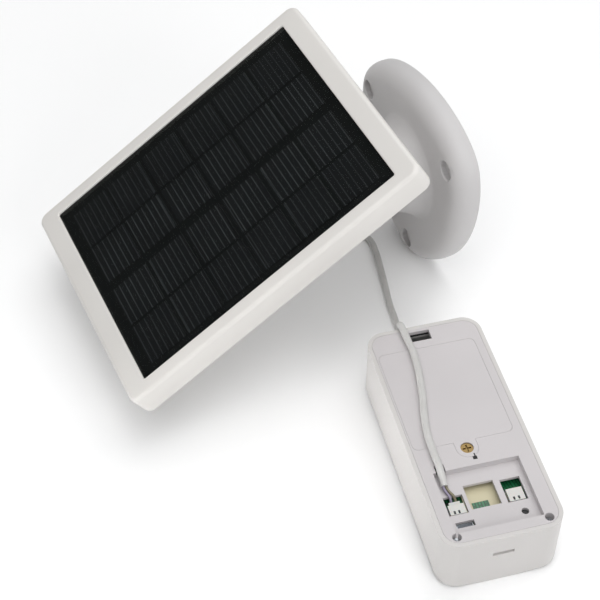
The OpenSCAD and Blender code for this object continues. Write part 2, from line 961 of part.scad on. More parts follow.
module call_button() {
    r = button_d / 2;
    color("whitesmoke")
        on_camera()
            translate([button_x, 0, 0]) {
                translate([0, 0, -cam_d + 0.7])
                    cylinder(h = front_t + 1, r = r);
                translate([0, 0, -cam_d + front_t + crown / 10 + 0.6])
                    cylinder(h = 1.2, r = r + 1.8);
                translate([0, 0, -cam_d + front_t + 1])
                    cylinder(h = cam_d + main_z - 2.6 - gap - button_travel - gap - front_t - 1, r = 2);
            }
}

module button_ring() {
    color("lightcyan")
        on_camera()
            translate([button_x, 0, 0])
                ring(button_d / 2 + 2.5, button_d / 2 + 0.2, -cam_d + 0.5, 1.1 - gap / 2);
}

module front_window() {
    color("black")
        on_camera()
            difference() {
                intersection() {
                    translate([window_x, 0, 0])
                        slab(window_l - 2 * gap, window_w - 2 * gap, window_corner - gap, -cam_d, 5);
                    crowned();
                }
                crowned(window_t - gap / 2);
                translate([lens_x, 0, -cam_d - 1])
                    cylinder(h = 4, r = 8.6);
                translate([motion_x, 0, -cam_d - 1])
                    cylinder(h = 4, r = 7);
            }
}

module lens_barrel() {
    color("dimgray")
        on_camera()
            translate([lens_x, 0, 0])
                difference() {
                    union() {
                        translate([0, 0, -cam_d + 1.4])
                            cylinder(h = 6, r = 8.5);
                        translate([0, 0, -cam_d + 6])
                            cylinder(h = barrel_l - 6, r = 7);
                    }
                    translate([0, 0, -cam_d + 1])
                        cylinder(h = 5, r1 = 7, r2 = 4);
                }
}

module lens_glass() {
    color("lightblue", 0.5)
        on_camera()
            translate([lens_x, 0, 0])
                translate([0, 0, -cam_d + 0.5])
                    cylinder(h = 0.8, r = 8.4);
}

module sensor_board() {
    color("darkgreen")
        on_camera()
            translate([lens_x, 0, -cam_d + barrel_l + gap])
                translate([-9, -10, 0])
                    cube([18, 20, 1]);
}

module infrared_leds() {
    color("thistle")
        on_camera()
            at_leds()
                translate([0, 0, led_z])
                    cylinder(h = main_z - gap - led_z, r = 2.4);
}

module motion_lens() {
    color("white")
        on_camera()
            translate([motion_x, 0, 0])
                difference() {
                    translate([0, 0, -cam_d + 0.5])
                        cylinder(h = 6, r = 6.9);
                    translate([0, 0, -cam_d + 1.5])
                        cylinder(h = 6, r = 5.9);
                }
}

module motion_sensor() {
    color("silver")
        on_camera()
            translate([motion_x, 0, main_z - 4 - gap])
                cylinder(h = 4, r = 4.2);
}

module microphone() {
    color("silver")
        on_camera()
            translate([14, 0, -cam_d + front_t + 0.4])
                translate([-2, -1.5, 0])
                    cube([4, 3, 1]);
}

module loudspeaker() {
    color("dimgray")
        on_camera()
            translate([54.5, 0, -cam_d + front_t + 2.4])
                translate([-4, -10, 0])
                    cube([10, 20, 4]);
}

module socket_board() {
    color("seagreen")
        on_camera()
            block([25, 54], [-22, 21], [sock_board_z, sock_top - gap]);
}

// A two-pin header with its mouth up the camera
module header(at, l) {
    translate([at[0], at[1], sock_top])
        difference() {
            cube([l, 7.4, 5]);
            translate([-1, 1, 1])
                cube([l, 5.4, 3.2]);
        }
}

module left_socket() {
    color("white")
        on_camera()
            header([39, -19.2], 5.2);
}

module right_socket() {
    color("white")
        on_camera()
            header([37, 8.6], 6.6);
}

module insulator() {
    color("wheat")
        on_camera()
            block([28, 45.5], [-10.5, 6], [sock_top, sock_top + 0.7]);
}

module usb_socket() {
    color("silver")
        on_camera()
            difference() {
                block([usb_x - 1.4, usb_x + 1.4], [usb_y - 3.8, usb_y + 3.8],
                    [sock_top, shelf_z - gap]);
                block([usb_x - 1.1, usb_x + 1.1], [usb_y - 3.5, usb_y + 3.5], [sock_top + 1.1, 0]);
            }
}

module reset_button() {
    color("black")
        on_camera()
            translate([reset_x, reset_y, shelf_z - 2.6]) {
                cylinder(h = 2.9, r = 1.4);
                cylinder(h = 1, r = 2.3);
            }
}

module lead_plug() {
    color("white")
        on_camera()
            translate([37, -18.1, sock_top + 1.2])
                cube([6, 5.2, 2.9]);
}

module lead_wires() {
    color("slategray")
        on_camera()
            for (k = [0, 1])
                tube(smooth([
                    [29.95, -18.35 + k * 1.3, -1.65], [31.6, -18.1 + k * 1.3, -2.2], [33.2, -17.6 + k * 1.5, -2.7],
                    [34.7, -17 + k * 1.8, -2.85], [35.9, -16.6 + k * 2, -4.5], [36.55, -16.5 + k * 2, -5.3]
                ], 3), 0.6);
}

module lead_drop() {
    color("lightgray")
        tube(smooth(drop_pts, 2), lead_r);
}

module lead_run() {
    color("lightgray")
        tube(smooth(run_pts, 2), lead_r);
}

module lead_coil() {
    color("lightgray")
        translate([coil_at[0], coil_at[1], floor_z])
            ring(coil_out, coil_in, 0, coil_h);
}

module coil_tie() {
    tie_t = 0.8;
    color("dimgray")
        translate([coil_at[0], coil_at[1], floor_z])
            rotate([0, 0, 200])
                difference() {
                    translate([coil_in - tie_t - gap, -3, 0])
                        cube([coil_out - coil_in + 2 * (tie_t + gap), 6, coil_h + tie_t + gap]);
                    translate([0, 0, -gap])
                        ring(coil_out + gap, coil_in - gap, -1, coil_h + 1 + 2 * gap);
                }
}

wall_base();
wall_gasket();
turret();
arm();
pivot_screw();
pivot_washer();
wave_washer();
cable_clip();
panel_frame();
panel_glass();
solar_cells();
cell_ribbons();
backing_board();
junction_box();
panel_gasket();
panel_back();
panel_screws();
tilt_bracket();
bracket_screws();
tilt_bolt();
tilt_nut();
friction_washers();
cable_gland();
arm_lead();
front_shell();
housing_seal();
rear_cover();
housing_screws();
battery_door();
door_seal();
battery_pack();
battery_contacts();
lock_screw();
lock_cam();
main_board();
board_chips();
call_switch();
call_button();
button_ring();
front_window();
lens_barrel();
lens_glass();
sensor_board();
infrared_leds();
motion_lens();
motion_sensor();
microphone();
loudspeaker();
socket_board();
left_socket();
right_socket();
insulator();
usb_socket();
reset_button();
lead_plug();
lead_wires();
lead_drop();
lead_run();
lead_coil();
coil_tie();
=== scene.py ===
import json
import math
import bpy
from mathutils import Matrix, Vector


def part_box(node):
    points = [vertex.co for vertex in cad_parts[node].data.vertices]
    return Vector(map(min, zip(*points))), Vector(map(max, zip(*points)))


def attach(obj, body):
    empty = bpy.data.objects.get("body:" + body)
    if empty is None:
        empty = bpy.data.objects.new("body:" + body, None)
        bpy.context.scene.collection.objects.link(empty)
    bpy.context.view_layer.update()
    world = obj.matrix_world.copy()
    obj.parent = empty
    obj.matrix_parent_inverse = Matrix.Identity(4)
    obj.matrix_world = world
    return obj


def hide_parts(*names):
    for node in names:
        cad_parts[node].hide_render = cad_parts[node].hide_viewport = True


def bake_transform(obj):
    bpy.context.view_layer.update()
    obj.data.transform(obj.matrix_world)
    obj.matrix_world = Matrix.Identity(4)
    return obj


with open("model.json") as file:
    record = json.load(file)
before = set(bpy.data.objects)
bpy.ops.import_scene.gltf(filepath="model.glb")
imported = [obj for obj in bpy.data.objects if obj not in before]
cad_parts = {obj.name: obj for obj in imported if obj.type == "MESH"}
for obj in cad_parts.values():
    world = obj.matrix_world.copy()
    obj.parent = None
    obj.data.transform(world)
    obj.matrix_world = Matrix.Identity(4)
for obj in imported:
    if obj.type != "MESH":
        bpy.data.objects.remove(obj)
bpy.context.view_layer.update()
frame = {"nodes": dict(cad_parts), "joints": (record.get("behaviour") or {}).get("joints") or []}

from types import SimpleNamespace

import bmesh
import bpy
from bpy.props import FloatProperty, FloatVectorProperty, IntProperty, PointerProperty
from mathutils import Matrix, Vector

bl_info = {
    "name": "Solar Camera Kit",
    "version": (1, 0, 0),
    "blender": (4, 5, 0),
    "location": "View3D > Sidebar > Solar Camera",
    "description": "Builds a solar panel on its wall bracket and the battery camera it charges",
    "category": "Object",
}

MM = 0.001
SHARP = math.radians(32)


def hinge(name):
    """Where a joint's axis stands, in the row frame."""
    return Vector(next(j for j in frame["joints"] if j["name"] == name)["pos_m"])


def middle(node):
    """The middle of a node's box, at its highest level."""
    low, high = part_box(node)
    return Vector(((low[0] + high[0]) / 2, (low[1] + high[1]) / 2, high[2]))


TILT_AXIS = hinge("tilt")
CAMERA_BACK = middle("rear_cover")
FLOOR_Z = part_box("lead_coil")[0][2]


# ---- Sizes and colours that a user would change ----


def length(title, about, value):
    """A length in metres, given here in millimetres."""
    return FloatProperty(name=title, description=about, default=value * MM, unit="LENGTH", subtype="DISTANCE")


def angle(title, about, degrees):
    return FloatProperty(name=title, description=about, default=math.radians(degrees), subtype="ANGLE")


def colour(title, about, hexa):
    """A colour picker, its default given as sRGB hex."""
    return FloatVectorProperty(
        name=title, description=about, default=linear(hexa)[:3], min=0, max=1, subtype="COLOR", size=3
    )


def linear(hexa):
    """sRGB hex to the linear colour that shaders take."""
    parts = [int(hexa[i : i + 2], 16) / 255 for i in (1, 3, 5)]
    return tuple(c / 12.92 if c <= 0.04045 else ((c + 0.055) / 1.055) ** 2.4 for c in parts) + (1.0,)


class PanelSizes(bpy.types.PropertyGroup):
    length_: length("Length", "Length of the panel down its slope", 172)
    width: length("Width", "Width of the panel", 136)
    depth: length("Depth", "Depth of the panel's frame", 14)
    end: length("End border", "Width of the frame's face at the two ends", 11)
    side: length("Side border", "Width of the frame's face along the long sides", 7.5)
    corner: length("Corner", "Rounding of the frame's corners", 5)
    wall: length("Wall", "Thickness of the frame's outer wall", 3)
    slope: angle("Slope", "Slope of the panel at rest", 31.7)
    stand_off: length("Stand-off", "From the panel's back to the tilt hinge", 18)
    finger_pitch: length("Finger pitch", "Spacing of the printed silver lines on a cell", 3.24)
    cells_long: IntProperty(name="Cells", description="Cells along the panel", default=6, min=1, max=12)


class BracketSizes(bpy.types.PropertyGroup):
    radius: length("Radius", "Mean radius of the base plate", 54)
    lobe: length("Lobe", "How far the base plate bulges at its three corners", 4.6)
    depth: length("Depth", "Depth of the base plate", 13)
    screw_circle: length("Screw circle", "Circle through the three wall screws, as a diameter", 94)
    screw_hole: length("Screw hole", "Diameter of a wall screw's hole", 5.2)
    turn: angle("Turn", "Turn of the base plate on the wall", 7)


class CameraSizes(bpy.types.PropertyGroup):
    turn: angle("Turn", "How the camera is turned on the floor", -10.8)


class LeadSizes(bpy.types.PropertyGroup):
    diameter: length("Diameter", "Diameter of the lead", 3.5)
    whole: length("Length", "Length of the lead as sold", 3000)
    coil: length("Coil", "Mean radius of the stored coil", 21)
    columns: IntProperty(name="Columns", description="Turns side by side in the coil", default=5, min=1)
    rows: IntProperty(name="Rows", description="Layers of turns in the coil", default=4, min=1)


class Colours(bpy.types.PropertyGroup):
    frame_: colour("Panel frame", "Warm white of the panel's frame", "#dbd8d4")
    bracket: colour("Bracket", "Cool white of the wall bracket", "#c2c0c0")
    shell: colour("Camera shell", "White of the camera's shell", "#c6c3c1")
    cover: colour("Camera cover", "White of the camera's back", "#c2bebf")
    lead: colour("Lead", "Pale grey of the lead's sheath", "#bdbcba")
    silicon: colour("Silicon", "Colour of the cells between their printed lines", "#1a1a1d")
    floor: colour("Floor", "Colour of the studio floor", "#fcfcfc")


def sizes(group):
    """A group's lengths in millimetres, and its other values as they are."""
    values = getattr(bpy.context.scene, group)
    out = {}
    for key, prop in type(values).bl_rna.properties.items():
        if key in ("rna_type", "name"):
            continue
        value = getattr(values, key)
        out[key] = value / MM if getattr(prop, "unit", "") == "LENGTH" else value
    return SimpleNamespace(**out)


# ---- Materials ----


def add(tree, kind, inputs=None, **settings):
    """Adds a node with its settings. An input takes a socket to link or a value to hold."""
    node = tree.nodes.new(kind)
    for key, value in settings.items():
        setattr(node, key, value)
    for key, value in (inputs or {}).items():
        if isinstance(value, bpy.types.NodeSocket):
            tree.links.new(value, node.inputs[key])
        else:
            node.inputs[key].default_value = value
    return node


def fresh(name):
    """An empty material with one Principled shader, as (material, tree, shader)."""
    material = bpy.data.materials.new(name)
    material.use_nodes = True
    tree = material.node_tree
    shader = next(n for n in tree.nodes if n.type == "BSDF_PRINCIPLED")
    return material, tree, shader


def hold(shader, **values):
    """Sets constant values on a shader's own sockets, by name with _ for a space."""
    for key, value in values.items():
        shader.inputs[key.replace("_", " ")].default_value = value


def place_of(tree):
    """Each piece's own coordinates, in metres."""
    return add(tree, "ShaderNodeTexCoord").outputs["Object"]


def per_size(mm):
    """A texture scale whose features come out about that many millimetres across."""
    return 1.0 / (mm * MM)


def grain(tree, mm, rough=0.5):
    """Noise with features of a real size, as a 0 to 1 socket."""
    node = add(
        tree,
        "ShaderNodeTexNoise",
        {"Vector": place_of(tree), "Scale": per_size(mm), "Detail": 3.0, "Roughness": rough},
    )
    return node.outputs["Fac"]


def ramp(tree, fac, low, high, from_=0.0, to=1.0):
    """Blends two colours or two greys along a 0 to 1 socket."""
    node = add(tree, "ShaderNodeValToRGB", {"Fac": fac})
    stops = node.color_ramp.elements
    stops[0].position, stops[1].position = from_, to
    stops[0].color, stops[1].color = low, high
    return node.outputs["Color"]


def grey(value):
    return (value, value, value, 1.0)


def shade(colour_, factor):
    return tuple(min(1.0, c * factor) for c in colour_[:3]) + (1.0,)


def bump(tree, shader, height, depth_mm, strength):
    """Raises the surface by up to a real depth where height is 1."""
    node = add(tree, "ShaderNodeBump", {"Height": height, "Distance": depth_mm * MM, "Strength": strength})
    tree.links.new(node.outputs["Normal"], shader.inputs["Normal"])


def moulded(name, base, rough, texture_mm, depth_mm, drift=0.035, ior=1.5):
    """A moulded plastic: its flow drifts in tone, and the tool leaves a fine texture in gloss and relief."""
    material, tree, shader = fresh(name)
    flow = grain(tree, 38, 0.4)
    tone = ramp(tree, flow, shade(base, 1 - drift), shade(base, 1 + drift), 0.3, 0.7)
    tree.links.new(tone, shader.inputs["Base Color"])
    skin = grain(tree, texture_mm, 0.55)
    gloss = ramp(tree, skin, grey(rough - 0.06), grey(rough + 0.07), 0.25, 0.75)
    tree.links.new(gloss, shader.inputs["Roughness"])
    bump(tree, shader, skin, depth_mm, 0.5)
    hold(shader, IOR=ior)
    return material


def tint(name):
    return tuple(getattr(bpy.context.scene.kit_colours, name)) + (1.0,)


# ABS, satin moulded: a smooth warm white with broad soft highlights on the panel's frame.
def satin_abs():
    return moulded("ABS, satin moulded", tint("frame_"), 0.4, 0.9, 0.01, 0.02)


# ASA, weathering grade, moulded: a cooler white with a drier, finely etched skin that softens shadows.
def etched_asa():
    return moulded("ASA, etched moulded", tint("bracket"), 0.52, 0.7, 0.02, 0.03)


# Polycarbonate and ABS blend, satin: the camera's shell, a little glossier than its cover.
def satin_pc_abs():
    return moulded("PC-ABS, satin moulded", tint("shell"), 0.36, 0.8, 0.008, 0.02)


# ABS with spark-eroded texture: the matt back of the camera, whose fine pits break up every reflection.
def spark_abs():
    return moulded("ABS, spark-eroded texture", tint("cover"), 0.55, 0.55, 0.03, 0.025)


# Nylon 6, glass-filled, black: dull black with pale fibre specks in its skin.
def black_nylon():
    return moulded("Nylon, black glass-filled", linear("#1b1b1d"), 0.5, 0.5, 0.02, 0.2)


# Pad-printing ink, black: a flat dense film, duller than the plastic under it.
def pad_ink():
    return moulded("Pad-printing ink, black", linear("#141415"), 0.6, 0.3, 0.004, 0.1)


# EPDM, moulded: soft dead black with almost no highlight.
def epdm():
    return moulded("EPDM rubber, moulded", linear("#191919"), 0.78, 0.6, 0.02, 0.12)


# PBT and nylon 66, natural: the milky white of small connectors, slightly see-through at its edges.
def natural_nylon():
    material = moulded("Nylon 66, natural", linear("#c9c8c4"), 0.34, 0.35, 0.006, 0.03, 1.53)
    shader = next(n for n in material.node_tree.nodes if n.type == "BSDF_PRINCIPLED")
    hold(shader, Subsurface_Weight=0.15, Subsurface_Scale=0.6 * MM)
    return material


# Polycarbonate sheet, ivory: a warm matt insulating sheet over the board.
def ivory_sheet():
    return moulded("Polycarbonate sheet, ivory", linear("#c9c1a3"), 0.45, 1.2, 0.01, 0.05)


# Polycarbonate, frosted: a milky light guide and lens that glows softly when lit from the side.
def frosted_pc():
    material = moulded("Polycarbonate, frosted", linear("#e4e8ea"), 0.42, 0.5, 0.006, 0.02, 1.58)
    shader = next(n for n in material.node_tree.nodes if n.type == "BSDF_PRINCIPLED")
    hold(shader, Subsurface_Weight=0.35, Subsurface_Scale=1.0 * MM)
    return material


# PVC, extruded: a soft sheen along the lead, with the faint lengthwise waver of the die.
def extruded_pvc():
    material, tree, shader = fresh("PVC sheath, extruded")
    waver = grain(tree, 6, 0.35)
    base = tint("lead")
    tone = ramp(tree, waver, shade(base, 0.95), shade(base, 1.04), 0.3, 0.7)
    tree.links.new(tone, shader.inputs["Base Color"])
    skin = grain(tree, 0.5, 0.5)
    tree.links.new(ramp(tree, skin, grey(0.36), grey(0.5)), shader.inputs["Roughness"])
    bump(tree, shader, skin, 0.012, 0.5)
    hold(shader, IOR=1.53, Coat_Weight=0.12, Coat_Roughness=0.3)
    return material


# PVC core insulation: small glossy wires, one violet-grey and one olive-brown.
def core(name, hexa):
    material, tree, shader = fresh(name)
    tone = grain(tree, 1.5)
    base = linear(hexa)
    tree.links.new(ramp(tree, tone, shade(base, 0.85), shade(base, 1.15)), shader.inputs["Base Color"])
    hold(shader, Roughness=0.32, IOR=1.53)
    return material


# Low-iron glass, tempered: a clear pane whose surface mirrors the studio over the black cells.
def solar_glass():
    material, _, shader = fresh("Low-iron glass, tempered")
    hold(shader, Base_Color=linear("#f4fbf8"), Roughness=0.03, IOR=1.5, Transmission_Weight=1.0)
    return material


# Coated optical glass: a small lens with the violet-green tint of its anti-reflection layers.
def coated_lens():
    material, tree, shader = fresh("Optical glass, coated")
    edge = add(tree, "ShaderNodeLayerWeight", {"Blend": 0.35}).outputs["Facing"]
    tree.links.new(ramp(tree, edge, linear("#0c1020"), linear("#2b1846")), shader.inputs["Base Color"])
    hold(shader, Roughness=0.04, IOR=1.7, Specular_Tint=linear("#9fd8c0"))
    hold(shader, Coat_Weight=1.0, Coat_Roughness=0.02)
    return material


# Acrylic, polished, piano black: a deep black that mirrors the studio sharply.
def black_acrylic():
    material, tree, shader = fresh("Acrylic, polished black")
    haze = grain(tree, 8)
    tree.links.new(ramp(tree, haze, grey(0.03), grey(0.08)), shader.inputs["Roughness"])
    hold(shader, Base_Color=linear("#08080a"), IOR=1.49, Coat_Weight=0.6, Coat_Roughness=0.03)
    return material


# Monocrystalline silicon with printed silver fingers, which are 0.1 mm wide and 1.6 mm apart on a real cell.
# They are drawn wider and further apart so that they show, and each cell has its own finger brightness.
def silicon_cell():
    pitch = sizes("kit_panel").finger_pitch
    drawn_width = 0.84
    material, tree, shader = fresh("Silicon, monocrystalline, silver fingers")
    where = add(tree, "ShaderNodeSeparateXYZ", {"Vector": place_of(tree)})
    steps = add(tree, "ShaderNodeMath", {0: where.outputs["Y"], 1: per_size(pitch)}, operation="MULTIPLY")
    fold = add(tree, "ShaderNodeMath", {0: steps.outputs[0], 1: 0.5}, operation="PINGPONG")
    half_width = drawn_width / 2 / pitch
    line = add(
        tree,
        "ShaderNodeMapRange",
        {
            "Value": fold.outputs[0],
            "From Min": half_width * 0.35,
            "From Max": half_width,
            "To Min": 1.0,
            "To Max": 0.0,
        },
        interpolation_type="SMOOTHSTEP",
    )
    per_cell = add(tree, "ShaderNodeAttribute", attribute_name="cell_tone").outputs["Fac"]
    patchy = grain(tree, 16, 0.5)
    gain = add(tree, "ShaderNodeMath", {0: per_cell, 1: patchy}, operation="MULTIPLY")
    wave = add(tree, "ShaderNodeMath", {0: gain.outputs[0], 1: line.outputs[0]}, operation="MULTIPLY")
    silver = ramp(tree, wave.outputs[0], tint("silicon"), linear("#6a6a6e"), 0.0, 1.0)
    tree.links.new(silver, shader.inputs["Base Color"])
    rough = ramp(tree, line.outputs[0], grey(0.32), grey(0.5))
    tree.links.new(rough, shader.inputs["Roughness"])
    hold(shader, IOR=1.5, Specular_IOR_Level=0.25)
    return material


# Black laminate: the glass-fibre board behind the cells, with a weave barely seen through its black coat.
def black_laminate():
    material, tree, shader = fresh("Glass-fibre laminate, black")
    weave = add(
        tree,
        "ShaderNodeTexChecker",
        {
            "Vector": place_of(tree),
            "Scale": per_size(0.8),
            "Color1": linear("#0a0a0b"),
            "Color2": linear("#101012"),
        },
    )
    tree.links.new(weave.outputs["Color"], shader.inputs["Base Color"])
    hold(shader, Roughness=0.5, IOR=1.5, Specular_IOR_Level=0.25)
    return material


def metal(name, hexa, rough, streak_mm, spread=0.1):
    """A worked metal: roughness and tone vary along tool marks of a real size."""
    material, tree, shader = fresh(name)
    base = linear(hexa)
    marks = grain(tree, streak_mm, 0.6)
    tone = ramp(tree, marks, shade(base, 0.86), shade(base, 1.08), 0.3, 0.7)
    tree.links.new(tone, shader.inputs["Base Color"])
    tree.links.new(ramp(tree, marks, grey(rough), grey(rough + spread)), shader.inputs["Roughness"])
    bump(tree, shader, marks, 0.008, 0.4)
    hold(shader, Metallic=1.0)
    return material


# Steel, zinc-plated: pale, slightly blue bolts and washers with a soft grey lustre.
def zinc_steel():
    return metal("Steel, zinc-plated", "#b9bcc0", 0.28, 0.5)


# Brass, turned: a warm yellow screw whose slot gathers dark tarnish.
def turned_brass():
    return metal("Brass, turned", "#8e7850", 0.3, 0.3, 0.14)


# Copper ribbon, tinned: bright dull-silver strips between the cells.
def tinned_copper():
    return metal("Copper ribbon, tinned", "#55565a", 0.55, 0.6)


# Solder mask, green, over copper: darker lines show where the tracks run under the lacquer.
def solder_mask():
    material, tree, shader = fresh("Solder mask, green on FR4")
    tracks = add(
        tree,
        "ShaderNodeTexBrick",
        {
            "Vector": place_of(tree),
            "Scale": per_size(9),
            "Color1": linear("#1d7a4c"),
            "Color2": linear("#17683f"),
            "Mortar": linear("#0d4a2c"),
            "Mortar Size": 0.035,
            "Brick Width": 0.55,
            "Row Height": 0.16,
        },
    )
    tree.links.new(tracks.outputs["Color"], shader.inputs["Base Color"])
    bump(tree, shader, tracks.outputs["Fac"], -0.03, 0.6)
    hold(shader, Roughness=0.3, IOR=1.52, Coat_Weight=0.4, Coat_Roughness=0.15)
    return material


# PVC shrink wrap, blue: a taut glossy film with faint wrinkles over the battery.
def shrink_wrap():
    material, tree, shader = fresh("PVC shrink wrap, blue")
    pull = grain(tree, 7, 0.4)
    tree.links.new(ramp(tree, pull, linear("#27568a"), linear("#2f64a0")), shader.inputs["Base Color"])
    bump(tree, shader, pull, 0.15, 0.5)
    hold(shader, Roughness=0.22, IOR=1.53)
    return material


# Studio floor, matt painted board: an even pale ground that takes only soft shadows.
def painted_board():
    material, tree, shader = fresh("Painted board, matt white")
    tone = grain(tree, 300, 0.3)
    base = tint("floor")
    tree.links.new(ramp(tree, tone, shade(base, 0.99), shade(base, 1.0)), shader.inputs["Base Color"])
    hold(shader, Roughness=0.9, Specular_IOR_Level=0.1)
    return material


FINISHES = {
    "satin_abs": (satin_abs, "white_frame"),
    "etched_asa": (etched_asa, "bracket_white"),
    "satin_pc_abs": (satin_pc_abs, "camera_shell"),
    "spark_abs": (spark_abs, "camera_cover"),
    "black_nylon": (black_nylon, "black_plastic"),
    "epdm": (epdm, "rubber"),
    "pad_ink": (pad_ink, "black_plastic"),
    "natural_nylon": (natural_nylon, "connector"),
    "ivory_sheet": (ivory_sheet, "insulator"),
    "frosted_pc": (frosted_pc, "diffuser"),
    "extruded_pvc": (extruded_pvc, "cable"),
    "violet_core": (lambda: core("PVC insulation, violet-grey", "#8d8599"), "wire"),
    "olive_core": (lambda: core("PVC insulation, olive-brown", "#77705a"), "wire"),
    "solar_glass": (solar_glass, "panel_glass"),
    "coated_lens": (coated_lens, "lens"),
    "black_acrylic": (black_acrylic, "black_gloss"),
    "silicon_cell": (silicon_cell, "solar_cell"),
    "black_laminate": (black_laminate, "backing"),
    "zinc_steel": (zinc_steel, "steel"),
    "turned_brass": (turned_brass, "brass"),
    "tinned_copper": (tinned_copper, "ribbon"),
    "solder_mask": (solder_mask, "board"),
    "shrink_wrap": (shrink_wrap, "battery"),
    "painted_board": (painted_board, None),
}
MADE = {}


def finish(name):
    """The material of a finish, made the first time that it is asked for."""
    if name not in MADE:
        MADE[name] = FINISHES[name][0]()
    return MADE[name]


# ---- Meshes, in millimetres ----


def rounded(l, w, r, steps=8):
    """A rounded rectangle's outline, l along X and w along Y."""
    corners = ((1, 1, 0), (-1, 1, 90), (-1, -1, 180), (1, -1, 270))
    points = []
    for cx, cy, start in corners:
        for k in range(steps + 1):
            a = math.radians(start + 90 * k / steps)
            points.append((cx * (l / 2 - r) + r * math.cos(a), cy * (w / 2 - r) + r * math.sin(a)))
    return points


def disc(r, at, n):
    angles = [math.tau * k / n for k in range(n)]
    return [(at[0] + r * math.cos(a), at[1] + r * math.sin(a)) for a in angles]


def box_outline(x, y):
    return [(x[0], y[0]), (x[1], y[0]), (x[1], y[1]), (x[0], y[1])]


def level(outline, z):
    return [(x, y, z) for x, y in outline]


def loft(rings, wrap=False):
    """Joins rings of points into a closed skin, which is capped at its ends unless it wraps round."""
    bm = bmesh.new()
    loops = [[bm.verts.new(p) for p in ring] for ring in rings]
    n = len(loops[0])
    for a, b in zip(loops, loops[1:] + (loops[:1] if wrap else [])):
        for k in range(n):
            bm.faces.new((a[k], a[(k + 1) % n], b[(k + 1) % n], b[k]))
    if not wrap:
        bm.faces.new(loops[0][::-1])
        bm.faces.new(loops[-1])
    return bm


def prism(outline, z0, z1):
    return loft([level(outline, z0), level(outline, z1)])


def turned(profile, at=(0, 0), n=64):
    """Turns a profile of (radius, height) about an upright axis."""
    return loft([level(disc(r, at, n), z) for r, z in profile])


def merged(*parts):
    """Puts several closed skins into one mesh, without joining them."""
    whole = bmesh.new()
    for part in parts:
        bmesh.ops.recalc_face_normals(part, faces=part.faces)
        mesh = bpy.data.meshes.new("work")
        part.to_mesh(mesh)
        part.free()
        whole.from_mesh(mesh)
        bpy.data.meshes.remove(mesh)
    return whole


def combined(bm, tool, how="DIFFERENCE"):
    """Cuts, joins or intersects two closed skins."""
    made = []
    for part in (bm, tool):
        bmesh.ops.recalc_face_normals(part, faces=part.faces)
        mesh = bpy.data.meshes.new("work")
        part.to_mesh(mesh)
        part.free()
        made.append(bpy.data.objects.new("work", mesh))
        bpy.context.scene.collection.objects.link(made[-1])
    step = made[0].modifiers.new("step", "BOOLEAN")
    step.operation = how
    step.object = made[1]
    step.solver = "EXACT"
    result = bmesh.new()
    result.from_object(made[0], bpy.context.evaluated_depsgraph_get())
    for obj in made:
        mesh = obj.data
        bpy.data.objects.remove(obj)
        bpy.data.meshes.remove(mesh)
    return result


def spline(points, steps):
    """A smooth curve through points: Catmull-Rom, with steps points in each stretch."""
    p = [Vector(q) for q in points]
    out = []
    for i in range(len(p) - 1):
        a, b, c, d = p[max(i - 1, 0)], p[i], p[i + 1], p[min(i + 2, len(p) - 1)]
        for k in range(steps):
            t = k / steps
            square = (2 * a - 5 * b + 4 * c - d) * t**2
            cube = (3 * b - a - 3 * c + d) * t**3
            out.append(0.5 * (2 * b + (c - a) * t + square + cube))
    return out + [p[-1]]


def tube(path, radius, n=12):
    """Sweeps a round tube along a path, without twist."""
    turns = [math.tau * k / n for k in range(n)]
    rings = []
    side = None
    for i, point in enumerate(path):
        way = (path[min(i + 1, len(path) - 1)] - path[max(i - 1, 0)]).normalized()
        if side is None:
            side = way.orthogonal().normalized()
        side = (side - side.dot(way) * way).normalized()
        up = way.cross(side)
        rings.append([point + radius * (math.cos(a) * side + math.sin(a) * up) for a in turns])
    return loft(rings)


# ---- Frames of the four parts, in metres ----


def wall_place():
    """Local Z points out of the wall."""
    return Matrix.Rotation(math.radians(90), 4, "X")


def panel_place():
    """Local X runs across the panel, Y up its slope, and Z out of its face."""
    p = sizes("kit_panel")
    behind = (p.depth + p.stand_off) * MM
    below_hinge = 9.6 * MM
    tilted = Matrix.Translation(TILT_AXIS) @ Matrix.Rotation(p.slope, 4, "X")
    return tilted @ Matrix.Translation((0, -below_hinge, behind))


def camera_place():
    """Local X runs from the camera's top end to its bottom end, and Z out of its back."""
    return Matrix.Translation(CAMERA_BACK) @ Matrix.Rotation(sizes("kit_camera").turn, 4, "Z")


# Stands in a piece's body for one that bends between two bodies
BENDS = "bends"


def piece(name, bm, place, finish_name, body, stands_for=(), soften=0.0, segments=3):
    """Makes a mesh in millimetres into a piece that rides on a body, its sharp edges softened by a radius."""
    name = name.lower().replace(" ", "_")
    bmesh.ops.remove_doubles(bm, verts=bm.verts, dist=0.0005)
    bmesh.ops.recalc_face_normals(bm, faces=bm.faces)
    bm.transform(Matrix.Scale(MM, 4))
    mesh = bpy.data.meshes.new(name)
    bm.to_mesh(mesh)
    bm.free()
    mesh.shade_smooth()
    mesh.materials.append(finish(finish_name))
    obj = bpy.data.objects.new(name, mesh)
    bpy.context.scene.collection.objects.link(obj)
    obj.matrix_world = place
    soften_edges(obj, soften, segments)
    if body is None:
        return obj
    if body != BENDS:
        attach(obj, body)
    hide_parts(*stands_for)
    return obj


def free_piece(name, bm, finish_name, stands_for):
    """A piece in the row frame that rides on no one body, as it bends between two."""
    return piece(name, bm, Matrix.Identity(4), finish_name, BENDS, stands_for)


def soften_edges(obj, radius, segments=3):
    """Rounds every sharp edge by a small radius, or only marks the edges where there is none."""
    if not radius:
        obj.data.set_sharp_from_angle(angle=SHARP)
        return
    bevel = obj.modifiers.new("soft edges", "BEVEL")
    bevel.width = radius * MM
    bevel.segments = segments
    bevel.limit_method = "ANGLE"
    bevel.angle_limit = SHARP
    bevel.harden_normals = True
    bevel.use_clamp_overlap = True


